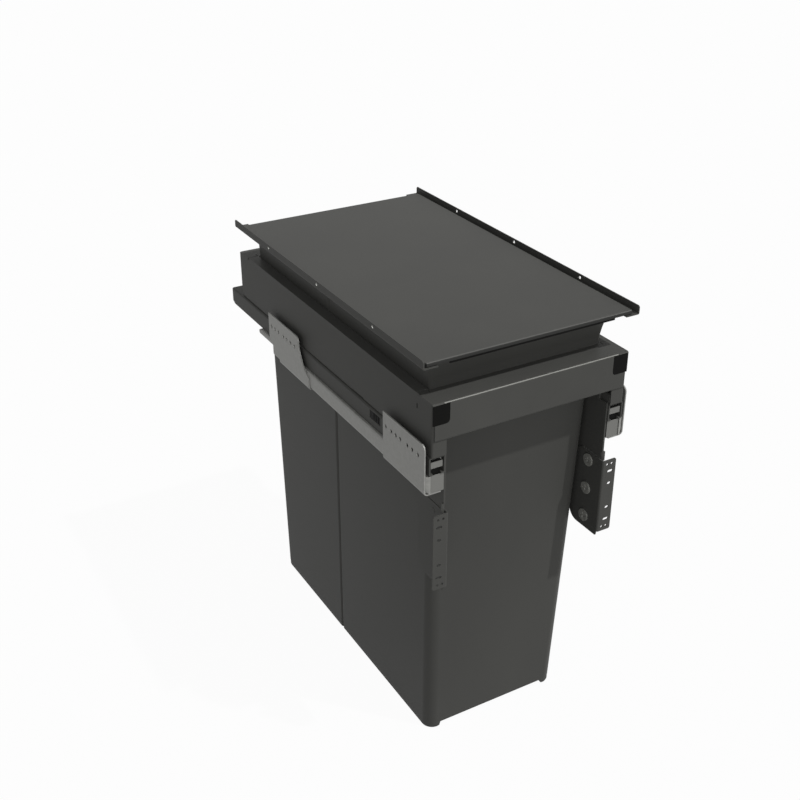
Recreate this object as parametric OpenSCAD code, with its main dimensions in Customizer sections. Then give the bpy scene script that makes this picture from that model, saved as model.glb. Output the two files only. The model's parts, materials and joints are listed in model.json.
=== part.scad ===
// Pull-out waste bin unit with two bins in tandem, for a narrow base cabinet.
// Front of the drawer faces -Y, X runs across the cabinet, Z points up.
// Working frame of the modules: x = 0 in the middle, y = 0 at the front face of
// the front bar, z = 0 at the top edge of the drawer frame. placed() moves it so
// that the origin sits under the middle of the whole unit.

/* [Output] */
// Piece to build, or all of them together

/* [Cabinet] */
// Clear width between the two cabinet sides
opening_w = 264; // [262:1:268]
// Distance from the cabinet side to the outer face of the fixing plates
packing = 4; // [3.5:0.5:5]

/* [Drawer frame] */
// Gap between a cabinet side and the frame side
side_gap = 10.75; // [10.5:0.05:11.25]
// Depth of the frame from front bar to rear wall
frame_d = 477; // [470:1:480]
// Height of the frame side down to its folded floor
frame_h = 61.5; // [60:0.5:61.5]
// Sheet thickness of frame, arms and brackets
sheet = 1.5; // [1.3:0.1:1.5]
// Outer radius of the folds
fold_r = 2.4; // [2:0.1:2.6]
// Height of the front bar
bar_h = 43; // [40:1:44]
// Depth of the flanges on top of front bar and rear wall
flange_d = 27; // [25:0.5:27]
// Depth of the small return along the bottom of the front bar
bar_return = 10; // [8:1:12]
// Width of the folded floor and front return of the frame side
side_flange = 17.25; // [17.25:0.05:17.35]
// Height of the upturned lip on the floor of the frame side
side_lip = 11.5; // [10:0.5:12]
// Play between the frame flanges and the edges they meet
edge_gap = 0.5; // [0.3:0.1:0.8]
// Distance of the side slot from the front face
side_slot_y = 31; // [30:1:36]
// Depth of the side slot below the top edge
side_slot_z = 14; // [12:1:18]
// Width of the side slot
side_slot_w = 3; // [2.5:0.5:4]
// Height of the side slot
side_slot_h = 6.5; // [6:0.5:9]
// Front end of the notch along the bottom edge of the frame side
side_notch_y = 146; // [140:1:150]
// Length of that notch
side_notch_l = 26; // [20:1:30]
// Height of that notch
side_notch_h = 2.2; // [2:0.1:3]
// Width of the relief slits in the rear flange
slit_w = 1; // [0.8:0.1:1.5]
// Distance of a relief slit from the outside of the frame
slit_inset = 12.65; // [11.25:0.1:14.25]
// Length of a relief slit
slit_l = 6; // [4:0.5:8]
// Height of the small lips that wrap the rear corners
wrap_h = 3; // [2:0.5:4]
// Thickness of those lips
wrap_t = 0.7; // [0.5:0.1:0.8]

/* [Corner inserts] */
// Width of the black insert on each end of the front bar
insert_w = 19.5; // [18:0.5:20]
// Lower edge of the insert below the top of the frame
insert_h = 24; // [22:0.5:26]
// Radius of the lower inner corner of the insert
insert_r = 4.5; // [3:0.5:6]
// Clearance around the insert
insert_gap = 0.15; // [0.1:0.05:0.2]
// Width of the plug behind the insert
plug_w = 8; // [6:1:9]
// Height of the plug
plug_h = 11; // [8:1:12]
// Depth of the plug behind the face of the bar
plug_d = 8; // [6:0.5:10]

/* [Runners] */
// Step from the frame side out to the drawer slide
slide_step = 1.75; // [1.6:0.05:1.8]
// Height of the drawer slide
slide_h = 21; // [20.8:0.1:21]
// Front end of the drawer slide behind the bar face
slide_front = 3.2; // [3.2:0.1:4]
// Rear end of the drawer slide
slide_rear = 508.5; // [504:0.5:512]
// Wall thickness of the runner profiles
rail_t = 1.5; // [1.4:0.1:1.5]
// Outer radius of the runner profile folds
rail_r = 2.2; // [2:0.1:2.4]
// Width of the lips that hold the runner profiles together
rail_lip = 3; // [2.8:0.1:3]
// Outer radius of the lower outer fold of the cabinet rail
rail_foot_r = 4.5; // [4.4:0.1:4.6]
// Rear corner cut of the drawer slide
slide_cut = 6; // [4:0.5:8]
// Width of the upper tube of the middle slide
middle_w = 14; // [13.6:0.2:14]
// Height of the upper tube of the middle slide
middle_h = 10; // [9.6:0.2:10]
// Height of the lower tube of the middle slide
middle_low_h = 14.2; // [14:0.1:14.3]
// Width of the lower tube of the middle slide
middle_low_w = 13.4; // [13:0.1:13.4]
// Width of the web between the tubes
middle_web = 7; // [6:0.5:7]
// Front end of the middle slide
middle_front = 7; // [7:0.5:9]
// Rear end of the middle slide
middle_rear = 372; // [368:1:373]
// Thickness of the nose piece on the middle slide
nose_t = 2.6; // [2:0.2:3]
// Gap between the lower nose cap and the front of the cabinet rail
nose_gap = 0.3; // [0.2:0.1:0.5]
// Height of the base plate that shows above the upper nose cap
cap_drop = 2; // [1:0.2:2.4]
// Height of the base plate that shows below the upper nose cap
cap_rise = 1; // [0.6:0.2:1.6]
// Depth of the plugs of the nose inside the tubes
nose_plug = 8; // [6:1:10]
// Height of the ball race between two members
race_h = 3; // [3:0.1:3.1]
// Ball diameter
ball_d = 2.8; // [2.7:0.05:2.8]
// Thickness of the ball cage
cage_t = 1.2; // [1:0.1:1.4]
// Width of the ball cage
cage_w = 12; // [11:0.5:12.4]
// Distance between the two rows of balls
ball_row = 7.6; // [7:0.2:8]
// Distance from ball to ball along a row
ball_pitch = 24; // [20:1:28]
// Balls in a row of the upper cage
upper_balls = 10; // [8:1:10]
// Balls in a row of the lower cage
lower_balls = 6; // [5:1:6]
// Front end of both cages
cage_front = 130; // [128:1:134]
// Height of the cabinet rail
rail_h = 21; // [20.5:0.5:21.5]
// Front end of the cabinet rail
rail_front = 6.5; // [6:0.5:8]
// Rear end of the full cabinet rail section
rail_rear = 374; // [370:1:380]
// Rear end of the narrow tail of the cabinet rail
tail_rear = 416; // [410:1:420]
// Height of the narrow tail
tail_h = 5.8; // [5:0.2:6]
// Height of the step between drawer slide and cabinet rail
rail_step = 0.6; // [0.5:0.1:0.8]
// Running gap between arm and cabinet rail
arm_gap = 0.6; // [0.5:0.1:0.7]
// Length of the block at the front end of the cabinet rail
block_l = 9; // [7:0.5:12]
// Depth of the slanted corner of that block
block_cut = 3; // [2:0.5:3]

/* [Catch in the slide window] */
// Front end of the window in the drawer slide
window_y = 104; // [100:1:110]
// Length of the window
window_l = 24; // [20:1:28]
// Height of the window
window_h = 10; // [8:0.5:11]
// Distance of the window below the top of the slide
window_drop = 2.5; // [2.4:0.1:3]
// Overlap of the catch body behind the window edge
catch_lap = 3; // [2:0.5:4]
// Thickness of the catch body behind the window
catch_t = 0.6; // [0.5:0.1:0.7]
// Play of the catch in the window
catch_gap = 0.4; // [0.3:0.1:0.6]

/* [Fixing plates] */
// Thickness of the fixing plates
plate_t = 1.5; // [1.4:0.1:1.5]
// Outer radius where a plate turns under the cabinet rail
plate_r = 4.5; // [4:0.5:5]
// Width of the foot of a plate under the cabinet rail
plate_foot = 20; // [18:1:21]
// Top edge of the fixing plates below the frame top
plate_top = 46.5; // [45:0.5:48]
// Front edge of the front fixing plate
plate_front = 4.5; // [4:0.5:6]
// Rear edge of the front fixing plate
plate_back = 89.5; // [88:0.5:92]
// Corner radius at the top front of the front plate
plate_corner = 6; // [4:0.5:8]
// Height of the row of screw holes below the frame top
hole_drop = 62.8; // [62:0.2:64]
// Diameter of the screw holes in the plates
plate_hole_d = 4.4; // [4:0.2:5]
// First hole of the front plate from the bar face
front_hole_1 = 18; // [17:0.5:19]
// Second hole of the front plate
front_hole_2 = 29.5; // [29:0.5:30]
// Third hole of the front plate
front_hole_3 = 39.5; // [39:0.5:40]
// Fourth hole of the front plate
front_hole_4 = 54; // [53:0.5:55]
// Fifth hole of the front plate
front_hole_5 = 63; // [62:0.5:64]
// Sixth hole of the front plate
front_hole_6 = 72.5; // [72:0.5:73]
// Seventh hole of the front plate
front_hole_7 = 84; // [83:0.5:84]
// Front tip of the rear fixing plate
rear_tip = 269; // [266:1:272]
// Front end of the upper edge of the rear plate
rear_upper = 295; // [293:1:297]
// Rear end of the rear plate
rear_end = 380; // [378:1:382]
// Rear end of the foot of the rear plate
rear_foot = 351; // [348:1:354]
// First hole of the rear plate
rear_hole_1 = 307; // [306:0.5:308]
// Second hole of the rear plate
rear_hole_2 = 318.5; // [318:0.5:319]
// Third hole of the rear plate
rear_hole_3 = 329; // [328:0.5:330]
// Fourth hole of the rear plate
rear_hole_4 = 338.5; // [338:0.5:339]
// Fifth hole of the rear plate
rear_hole_5 = 353; // [352:0.5:354]
// Sixth hole of the rear plate
rear_hole_6 = 363; // [362:0.5:364]
// Seventh hole of the rear plate
rear_hole_7 = 372.5; // [372:0.5:373]
// Rivet shank diameter
rivet_d = 4; // [3.6:0.2:4.4]
// Rivet head diameter
rivet_head = 7; // [6.5:0.5:7.5]
// Rivet head height
rivet_h = 0.9; // [0.8:0.1:1]
// Play of a rivet or screw in its hole, on the radius
fit = 0.05; // [0.03:0.01:0.08]

/* [Bracket arms] */
// Thickness of a bracket arm
arm_t = 2; // [1.8:0.1:2]
// Front edge of the arm
arm_front = 5; // [4:0.1:5.5]
// Rear edge of the arm
arm_rear = 54; // [52:0.5:56]
// Front end of the upper part that is riveted to the frame
arm_neck = 18.6; // [18:0.2:20]
// Lower end of the arm below the frame top
arm_drop = 232; // [231:0.5:235]
// Slit in the arm above the bracket
arm_slit = 1.2; // [1:0.1:1.4]
// Rear end of the slit
arm_slit_rear = 36; // [34:1:38]
// Diameter of the relief hole at the end of the slit
arm_slit_hole = 2.4; // [2:0.2:3]
// Height of the short front lip above the top of the slit
arm_lip_h = 8; // [7:0.5:12]
// Distance by which the lip reaches below the top of the slit
arm_lip_drop = 3.5; // [2.5:0.5:4]
// Width of that lip across the front edge
arm_lip_w = 2; // [1.8:0.1:2.2]
// Radius of the lower rear corner of arm and bracket
arm_r = 15; // [12:1:16]

/* [Front brackets] */
// Height of the front flange
bracket_h = 94; // [93:0.5:96]
// Distance from frame top to the middle of the flange
bracket_mid = 178; // [177:0.5:178]
// Distance of the outer edge of the flange from the outside of the frame
flange_inset = 2.25; // [1.25:0.25:3.25]
// Extra length of the bracket plate below the flange
bracket_extra = 3; // [2:0.5:5]
// Rear edge of the bracket plate
bracket_rear = 51; // [49:0.5:53]
// Half distance of the small outer hole pairs
pair_half = 41.5; // [41:0.5:42]
// Distance between the two holes of a pair
pair_w = 6.2; // [6:0.2:6.4]
// Diameter of the small holes
pair_d = 3.2; // [3:0.1:3.4]
// Half distance of the long slots
long_half = 32; // [31.5:0.5:32.5]
// Length of a long slot
long_slot = 7.6; // [7:0.2:8]
// Half distance of the short slots
short_half = 16; // [15.5:0.5:16.5]
// Length of a short slot
short_slot = 5.2; // [5:0.2:6]
// Width of the slots
slot_w = 3.6; // [3.4:0.2:4]
// Distance of the slot centres from the outer edge of the flange
slot_inset = 7.2; // [7:0.2:7.6]
// Head diameter of the bracket screws
screw_head = 15; // [14:0.5:15]
// Head thickness of the bracket screws
screw_head_t = 1.8; // [1.6:0.1:1.8]
// Thread diameter of the bracket screws
screw_d = 6; // [5:0.5:6]
// Distance between the bracket screws
screw_pitch = 37; // [36:0.5:38]
// Distance of the bracket screws from the bar face
screw_y = 25; // [24:0.5:27]
// Free end of the screw beyond the arm
screw_tip = 0.4; // [0.2:0.2:1]
// Adjusting travel of the screws in the bracket slots
screw_travel = 4; // [3:0.5:5]
// Width of the cross recess
recess_w = 1.2; // [1:0.1:1.4]
// Length of the cross recess
recess_l = 7; // [6:0.5:8]
// Depth of the cross recess
recess_t = 0.8; // [0.6:0.1:1]

/* [Bins] */
// Distance of a bin body from the outside of the frame at the frame top
bin_side_gap = 18.85; // [18.65:0.1:20.25]
// Distance by which a bin body is narrower at the floor, on each side
bin_taper = 10.4; // [8.4:0.2:12.4]
// Front face of the front bin at the frame top
bin_front = 29.5; // [29.5:0.5:30]
// Front face of the front bin at the floor
bin_front_foot = 49; // [46:1:52]
// Meeting line of the two bins at the frame top
bin_split = 251; // [249:0.5:253]
// Meeting line of the two bins at the floor
bin_split_foot = 272; // [268:1:274]
// Gap between the two bins
bin_gap = 1.2; // [1:0.1:1.6]
// Distance of the rear bin from the back of the frame at the frame top
bin_back_gap = 30.5; // [30:0.5:33]
// Distance of the rear bin from the back of the frame at the floor
bin_foot_gap = 29.5; // [29:0.5:33]
// Outer corner radius of the bins
bin_r = 14; // [12:1:16]
// Radius of the corners where the bins meet
bin_inner_r = 3.5; // [3:0.5:4]
// Wall thickness of the bins
bin_wall = 2.2; // [2:0.1:2.4]
// Thickness of the bin floor
bin_floor_t = 3.2; // [3.2:0.1:3.6]
// Depth of the bins below the frame top
bin_depth = 473; // [440:1:476]
// Radius along the edge of the bin floor
bin_floor_r = 3; // [2:0.5:3]
// Height of the rim above the frame top
rim_h = 37.5; // [36:0.5:37.5]
// Overhang of the collar over the body
collar = 4.6; // [4.2:0.1:4.8]
// Step of the collar over the front and rear of the body
collar_step = 0.6; // [0.4:0.1:0.8]
// Height of the lower, steeper part of the collar
collar_mid = 20; // [18:1:22]
// Flare of the collar at its middle
flare_mid = 1.2; // [1:0.1:1.4]
// Flare of the collar at the rim
flare_top = 3.4; // [3:0.1:3.6]
// Depth of the collar below the frame top
collar_drop = 3; // [2.5:0.5:3.5]
// Thickness of a hanging rib
rib_t = 3; // [2.6:0.2:3.4]
// Height of the skids under a bin
skid_h = 5; // [4:0.5:6]
// Width of a skid
skid_w = 19; // [18:0.5:22]
// Inset of a skid from the sides of the bin
skid_inset = 0.3; // [0.2:0.1:0.5]
// Slope of the inner side of a skid
skid_slope = 4; // [2:0.5:5]
// Radius along the lower edge of a skid
skid_r = 1.6; // [1:0.2:2]

/* [Lid] */
// Gap between the bin rims and the lid rails
lid_clear = 2.2; // [2:0.1:2.6]
// Thickness of the lid rails
lid_rail_t = 1.2; // [1:0.1:1.4]
// Height of a lid rail
lid_rail_h = 9.8; // [9:0.1:10.4]
// Width of the lip of a lid rail
lid_rail_lip = 17; // [16:0.5:18]
// Front end of the lid rails
lid_rail_front = 1.9; // [1:0.1:3]
// Length of the lid rails
lid_rail_l = 457.8; // [450:0.1:462]
// Corner cut at the ends of a lid rail
lid_rail_cut = 1.6; // [1:0.2:2]
// First screw hole in a lid rail
lid_hole_y = 102.5; // [98:0.5:106]
// Pitch of the screw holes in a lid rail
lid_pitch = 128; // [128:1:129]
// Height of the screw holes above the bottom of the rail
lid_hole_z = 5.9; // [5.6:0.1:6.4]
// Diameter of the screw holes in a lid rail
lid_hole_d = 3.6; // [3:0.2:3.8]
// Distance of the lid plate from the cabinet sides
lid_inset = 7.4; // [6:0.2:8]
// Front edge of the lid plate
lid_front = 3; // [2:0.5:4]
// Length of the lid plate
lid_l = 441.5; // [436:0.5:446]
// Height of the folded edges of the lid plate
lid_fold = 4.9; // [4.4:0.1:5.4]
// Gap under the front fold of the lid plate
lid_slot = 1; // [0.8:0.1:1.2]
// Fold radius of the lid plate
lid_r = 1.8; // [1.6:0.1:2]

/* [Hidden] */
// Facets of round holes and folds
arc_fn = 48;
// Steps round each corner of a bin
corner_steps = 8;
// Steps round the edge of a bin floor
floor_steps = 3;
// Facets of the balls
ball_fn = 20;
// Quarter of a turn
quarter = 90;
// Length by which cuts run past their faces
cut = 1;
// Small overlap that joins the bodies of one piece
lap = 0.05;
// Heights of the corners of the rear plate, as shares of its height from the top
rear_corner_shares = [0.24, 0.56, 0.73, 0.97, 0.56, 0.66, 0.83];
// Places of the hanging ribs along the front bin, as shares of its length
front_rib_shares = [0.24, 0.55, 0.86];
// Places of the hanging ribs along the rear bin, as shares of its length
rear_rib_shares = [0.14, 0.5, 0.86];
// Steps along the front and rear edge of the rear plate, as shares of their depth
rear_step_shares = [0.62, 0.1, 0.37, 0.1];

half_w = opening_w / 2;
plate_x = half_w - packing;
frame_x = half_w - side_gap;
slide_out = frame_x + slide_step;
unit_d = slide_rear;
drop = bin_depth + skid_h;

side_in = frame_x - side_flange;
slide_in = side_in;
slide_x = (slide_in + slide_out) / 2;
slide_w = slide_out - slide_in;
slide_top = -frame_h;
slide_bot = slide_top - slide_h;
middle_top = slide_top - rail_t - race_h;
middle_low_top = slide_bot - rail_step - 1.5 * rail_t;
middle_bot = middle_low_top - middle_low_h;
rail_top = slide_bot - rail_step;
rail_bot = rail_top - rail_h;
rail_out = plate_x - plate_t;
rail_in = slide_in + arm_gap;
arm_x = side_in - arm_t;
arm_top = -frame_h + side_lip;
slit_top = -bracket_mid + bracket_h / 2 + arm_slit;
bracket_in = arm_x - sheet;
bracket_x = frame_x - flange_inset;
slit_x = frame_x - slit_inset;
bin_half = frame_x - bin_side_gap;
bin_foot_half = bin_half - bin_taper;
bin_back = frame_d - bin_back_gap;
bin_back_foot = frame_d - bin_foot_gap;
lid_half = half_w - lid_inset;
lid_bot = rim_h + lid_clear;
lid_seat = lid_bot + lid_rail_t;
lid_top = lid_seat + lid_fold;

// Placing and basic shapes

module placed() {
    translate([0, -unit_d / 2, drop]) children();
}

module left() {
    mirror([1, 0, 0]) children();
}

// Right side for s = 1, left side for s = -1
module on_side(s) {
    if (s > 0) children();
    else left() children();
}

// Extrudes an outline drawn in X and Z along Y, from y0 to y1
module run(y0, y1) {
    translate([0, y1, 0]) rotate([90, 0, 0]) linear_extrude(height = y1 - y0) children();
}

// Extrudes an outline drawn in Y and Z along X, from x0 to x1
module slab(x0, x1) {
    translate([x0, 0, 0]) rotate([90, 0, 90]) linear_extrude(height = x1 - x0) children();
}

// Extrudes an outline drawn in X and Y along Z, from z0 to z1
module rise(z0, z1) {
    translate([0, 0, z0]) linear_extrude(height = z1 - z0) children();
}

module rect(x0, y0, x1, y1) {
    translate([x0, y0]) square([x1 - x0, y1 - y0]);
}

module block(x0, y0, z0, x1, y1, z1) {
    translate([x0, y0, z0]) cube([x1 - x0, y1 - y0, z1 - z0]);
}

module rounded_rect(x0, y0, x1, y1, r) {
    rect(x0 + r, y0, x1 - r, y1);
    rect(x0, y0 + r, x1, y1 - r);
    for (x = [x0 + r, x1 - r]) {
        for (y = [y0 + r, y1 - r]) {
            translate([x, y]) circle(r = r, $fn = arc_fn);
        }
    }
}

// Quarter of a bent sheet: centre cx, cy, outer radius r, thickness t
module bend(cx, cy, r, t, sx, sy) {
    intersection() {
        translate([cx, cy]) difference() {
            circle(r = r, $fn = arc_fn);
            circle(r = r - t, $fn = arc_fn);
        }
        translate([sx > 0 ? cx : cx - r, sy > 0 ? cy : cy - r]) square([r, r]);
    }
}

// Slot of the given total length, run along X or Y of the drawing
module slot2d(cx, cy, l, w, along_x) {
    h = (l - w) / 2;
    dx = along_x ? h : 0;
    dy = along_x ? 0 : h;
    rect(cx - dx - (along_x ? 0 : w / 2), cy - dy - (along_x ? w / 2 : 0),
         cx + dx + (along_x ? 0 : w / 2), cy + dy + (along_x ? w / 2 : 0));
    for (s = [-1, 1]) {
        translate([cx + s * dx, cy + s * dy]) circle(d = w, $fn = arc_fn);
    }
}

// Lid

module lid_plate() {
    color("DimGray") placed() {
        // plate with folded left and right edges
        run(lid_front + lid_r, lid_front + lid_l - lid_r) lid_section();
        // plate with folded front and rear edges
        slab(-lid_half + lid_r, lid_half - lid_r) lid_long_section();
    }
}

module lid_section() {
    rect(-lid_half + lid_r, lid_top - lid_rail_t, lid_half - lid_r, lid_top);
    for (s = [-1, 1]) {
        bend(s * (lid_half - lid_r), lid_top - lid_r, lid_r, lid_rail_t, s, 1);
        rect(s > 0 ? lid_half - lid_rail_t : -lid_half, lid_seat,
             s > 0 ? lid_half : -lid_half + lid_rail_t, lid_top - lid_r);
    }
}

module lid_long_section() {
    y0 = lid_front;
    y1 = lid_front + lid_l;
    rect(y0 + lid_r, lid_top - lid_rail_t, y1 - lid_r, lid_top);
    bend(y0 + lid_r, lid_top - lid_r, lid_r, lid_rail_t, -1, 1);
    bend(y1 - lid_r, lid_top - lid_r, lid_r, lid_rail_t, 1, 1);
    rect(y0, lid_seat + lid_slot, y0 + lid_rail_t, lid_top - lid_r);
    rect(y1 - lid_rail_t, lid_seat, y1, lid_top - lid_r);
}

module lid_rail() {
    y0 = lid_rail_front;
    y1 = lid_rail_front + lid_rail_l;
    top = lid_bot + lid_rail_h;
    difference() {
        run(y0, y1) {
            rect(half_w - lid_rail_t, lid_bot + lid_r, half_w, top);
            bend(half_w - lid_r, lid_bot + lid_r, lid_r, lid_rail_t, 1, -1);
            rect(half_w - lid_rail_lip, lid_bot, half_w - lid_r, lid_bot + lid_rail_t);
        }
        for (i = [0 : 2]) {
            translate([half_w + cut, lid_hole_y + i * lid_pitch, lid_bot + lid_hole_z])
                rotate([0, -90, 0])
                cylinder(d = lid_hole_d, h = lid_rail_t + 2 * cut, $fn = arc_fn);
        }
        slab(half_w - lid_rail_t - cut, half_w + cut) {
            polygon([[y0 - cut, top - lid_rail_cut], [y0, top - lid_rail_cut],
                [y0 + lid_rail_cut, top], [y0 + lid_rail_cut, top + cut], [y0 - cut, top + cut]]);
            polygon([[y1 + cut, top - lid_rail_cut], [y1, top - lid_rail_cut],
                [y1 - lid_rail_cut, top], [y1 - lid_rail_cut, top + cut], [y1 + cut, top + cut]]);
        }
    }
}

module lid_rail_right() {
    color("DimGray") placed() lid_rail();
}

module lid_rail_left() {
    color("DimGray") placed() left() lid_rail();
}

// Cabinet side of the runners

module rail_section() {
    // outer web, floor and inner web with rounded folds
    rect(rail_out - rail_t, rail_bot + rail_foot_r, rail_out, rail_top - rail_r);
    bend(rail_out - rail_foot_r, rail_bot + rail_foot_r, rail_foot_r, rail_t, 1, -1);
    rect(rail_in + rail_r, rail_bot, rail_out - rail_foot_r, rail_bot + rail_t);
    bend(rail_in + rail_r, rail_bot + rail_r, rail_r, rail_t, -1, -1);
    rect(rail_in, rail_bot + rail_r, rail_in + rail_t, rail_top - rail_r);
    // lips that hold the middle slide down
    bend(rail_in + rail_r, rail_top - rail_r, rail_r, rail_t, -1, 1);
    rect(rail_in + rail_r, rail_top - rail_t, rail_in + rail_t + rail_lip, rail_top);
    bend(rail_out - rail_r, rail_top - rail_r, rail_r, rail_t, 1, 1);
    rect(slide_x + middle_low_w / 2 - rail_t, rail_top - rail_t, rail_out - rail_r, rail_top);
}

module cabinet_rail() {
    difference() {
        run(rail_front, tail_rear) rail_section();
        // behind the rear plate only a narrow tail is left
        slab(rail_in - cut, rail_out + cut)
            rect(rail_rear, rail_bot - cut, tail_rear + cut, rail_top - tail_h);
        slab(rail_in - cut, rail_out + cut)
            tail_end();
        block(rail_in - cut, rail_rear, rail_bot - cut,
              rail_in + rail_t + rail_lip + cut, tail_rear + cut, rail_top + cut);
        for (y = rivet_places()) {
            translate([rivet_x(), y, rail_bot - cut])
                cylinder(r = rivet_d / 2 + fit, h = rail_t + 2 * cut, $fn = arc_fn);
        }
    }
}

module tail_end() {
    r = tail_h / 2;
    difference() {
        rect(tail_rear - r, rail_top - tail_h - cut, tail_rear + cut, rail_top + cut);
        translate([tail_rear - r, rail_top - r]) circle(r = r, $fn = arc_fn);
    }
}

module cabinet_rail_right() {
    color("Silver") placed() cabinet_rail();
}

module cabinet_rail_left() {
    color("Silver") placed() left() cabinet_rail();
}

// Cast block that closes the gap beside the middle slide at the front
module rail_end_block() {
    x0 = slide_x + middle_low_w / 2 + arm_gap;
    y0 = rail_front - block_cut;
    step = rail_front - cut / 2;
    // plug inside the cabinet rail
    block(x0, rail_front - lap, rail_bot + rail_foot_r,
          rail_out - rail_t, rail_front + block_l, rail_top - rail_r);
    // slanted face in front of the rail
    difference() {
        run(y0, rail_front)
            polygon([[x0, rail_bot], [rail_out - rail_foot_r, rail_bot],
                [rail_out, rail_bot + rail_foot_r], [rail_out, rail_top], [x0, rail_top]]);
        rise(rail_bot - cut, rail_top + cut)
            polygon([[x0 + rail_t, y0 - cut], [rail_out + cut, y0 - cut],
                [rail_out + cut, step], [rail_out, step], [x0 + rail_t, y0]]);
    }
}

module rail_end_block_right() {
    color("LightGray") placed() rail_end_block();
}

module rail_end_block_left() {
    color("LightGray") placed() left() rail_end_block();
}

// Fixing plates

function rivet_places() = [
    plate_front + (plate_back - plate_front) / 3,
    plate_back - (plate_back - plate_front) / 6,
    rear_tip + (rear_foot - rear_tip) / 4,
    rear_foot - (rear_foot - rear_tip) / 4
];

function rivet_x() = plate_x - plate_foot + rivet_head / 2 + 2 * fit;

function front_holes() = [front_hole_1, front_hole_2, front_hole_3, front_hole_4,
    front_hole_5, front_hole_6, front_hole_7];

function rear_holes() = [rear_hole_1, rear_hole_2, rear_hole_3, rear_hole_4,
    rear_hole_5, rear_hole_6, rear_hole_7];

module plate_section() {
    foot_bot = rail_bot - plate_t;
    rect(plate_x - plate_t, foot_bot + plate_r, plate_x, -plate_top);
    bend(plate_x - plate_r, foot_bot + plate_r, plate_r, plate_t, 1, -1);
    rect(plate_x - plate_foot, foot_bot, plate_x - plate_r, rail_bot);
}

module fixing_holes(list) {
    for (y = list) {
        translate([plate_x + cut, y, -hole_drop]) rotate([0, -90, 0])
            cylinder(d = plate_hole_d, h = plate_t + 2 * cut, $fn = arc_fn);
    }
}

module foot_rivet_holes() {
    for (y = rivet_places()) {
        translate([rivet_x(), y, rail_bot - plate_t - cut])
            cylinder(r = rivet_d / 2 + fit, h = plate_t + 2 * cut, $fn = arc_fn);
    }
}

module front_fixing_plate() {
    difference() {
        run(plate_front, plate_back) plate_section();
        fixing_holes(front_holes());
        foot_rivet_holes();
        plate_rounding(plate_front);
    }
}

// Rounds the top corner of a fixing plate whose front edge lies at y
module plate_rounding(y) {
    slab(plate_x - plate_t - cut, plate_x + cut) difference() {
        rect(y - cut, -plate_top - plate_corner, y + plate_corner, -plate_top + cut);
        translate([y + plate_corner, -plate_top - plate_corner])
            circle(r = plate_corner, $fn = arc_fn);
    }
}

module rear_outline() {
    top = -plate_top;
    bot = rail_bot - plate_t;
    h = top - bot;
    c = rear_corner_shares;
    f = rear_step_shares;
    fore = rear_upper - rear_tip;
    back = rear_end - rear_foot;
    polygon([
        [rear_upper, top], [rear_end, top],
        [rear_end, top - c[4] * h], [rear_end - f[2] * back, top - c[5] * h],
        [rear_foot + f[3] * back, top - c[6] * h], [rear_foot, bot],
        [rear_tip + f[1] * fore, bot], [rear_tip, top - c[3] * h],
        [rear_tip + f[1] * fore, top - c[2] * h], [rear_tip + f[0] * fore, top - c[1] * h],
        [rear_upper, top - c[0] * h]
    ]);
}

module rear_fixing_plate() {
    difference() {
        intersection() {
            run(rear_tip, rear_end) plate_section();
            slab(plate_x - plate_foot - cut, plate_x + cut) rear_outline();
        }
        fixing_holes(rear_holes());
        foot_rivet_holes();
        plate_rounding(rear_upper);
    }
}

module front_fixing_plate_right() {
    color("Silver") placed() front_fixing_plate();
}

module front_fixing_plate_left() {
    color("Silver") placed() left() front_fixing_plate();
}

module rear_fixing_plate_right() {
    color("Silver") placed() rear_fixing_plate();
}

module rear_fixing_plate_left() {
    color("Silver") placed() left() rear_fixing_plate();
}

module fixing_plate_rivets() {
    color("Gainsboro") placed() for (s = [-1, 1]) {
        for (y = rivet_places()) {
            translate([s * rivet_x(), y, rail_bot - plate_t]) {
                cylinder(d = rivet_d, h = plate_t + rail_t, $fn = arc_fn);
                translate([0, 0, -rivet_h]) cylinder(d = rivet_head, h = rivet_h, $fn = arc_fn);
            }
        }
    }
}

// Middle slide, nose and ball cages

module middle_outline(grow) {
    w = middle_w / 2 - grow;
    v = middle_low_w / 2 - grow;
    rect(slide_x - w, middle_top - middle_h + grow, slide_x + w, middle_top - grow);
    rect(slide_x - v, middle_bot + grow, slide_x + v, middle_low_top - grow);
}

module middle_slide() {
    run(middle_front, middle_rear) difference() {
        union() {
            middle_outline(0);
            rect(slide_x - middle_web / 2, middle_low_top - rail_t,
                 slide_x + middle_web / 2, middle_top - middle_h + rail_t);
        }
        middle_outline(rail_t);
        rect(slide_x - middle_web / 2 + rail_t, middle_low_top - 2 * rail_t,
             slide_x + middle_web / 2 - rail_t, middle_top - middle_h + 2 * rail_t);
    }
}

module slide_nose() {
    w = middle_w / 2;
    v = middle_low_w / 2;
    front = middle_front - nose_t;
    back = rail_front - nose_gap;
    base = front + nose_t / 2;
    web = rail_t + rail_lip + nose_gap;
    // base plate over the upper tube and raised cap on it
    difference() {
        union() {
            run(base, middle_front)
                rect(slide_x - w, middle_top - middle_h, slide_x + w, middle_top);
            run(front, base + lap)
                rect(slide_x - w, middle_top - middle_h + cap_rise,
                     slide_x + w, middle_top - cap_drop);
        }
        run(front - cut, middle_front + cut)
            polygon([[slide_x - w - cut, middle_top + cut],
                [slide_x - w + rail_r + cut, middle_top + cut],
                [slide_x - w - cut, middle_top - rail_r - cut]]);
    }
    // web between the lips of the drawer slide
    run(base, back)
        rect(slide_in + web, rail_top - lap, slide_out - web, middle_top - middle_h + lap);
    // cap of the lower tube, wide enough to cover the end of the cabinet rail
    run(front, back)
        rect(rail_in, rail_bot + nose_gap, slide_x + v, rail_top);
    run(back - lap, middle_front)
        rect(slide_x - v, middle_bot, slide_x + v, middle_low_top);
    run(middle_front - lap, middle_front + nose_plug) middle_outline(rail_t);
}

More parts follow.
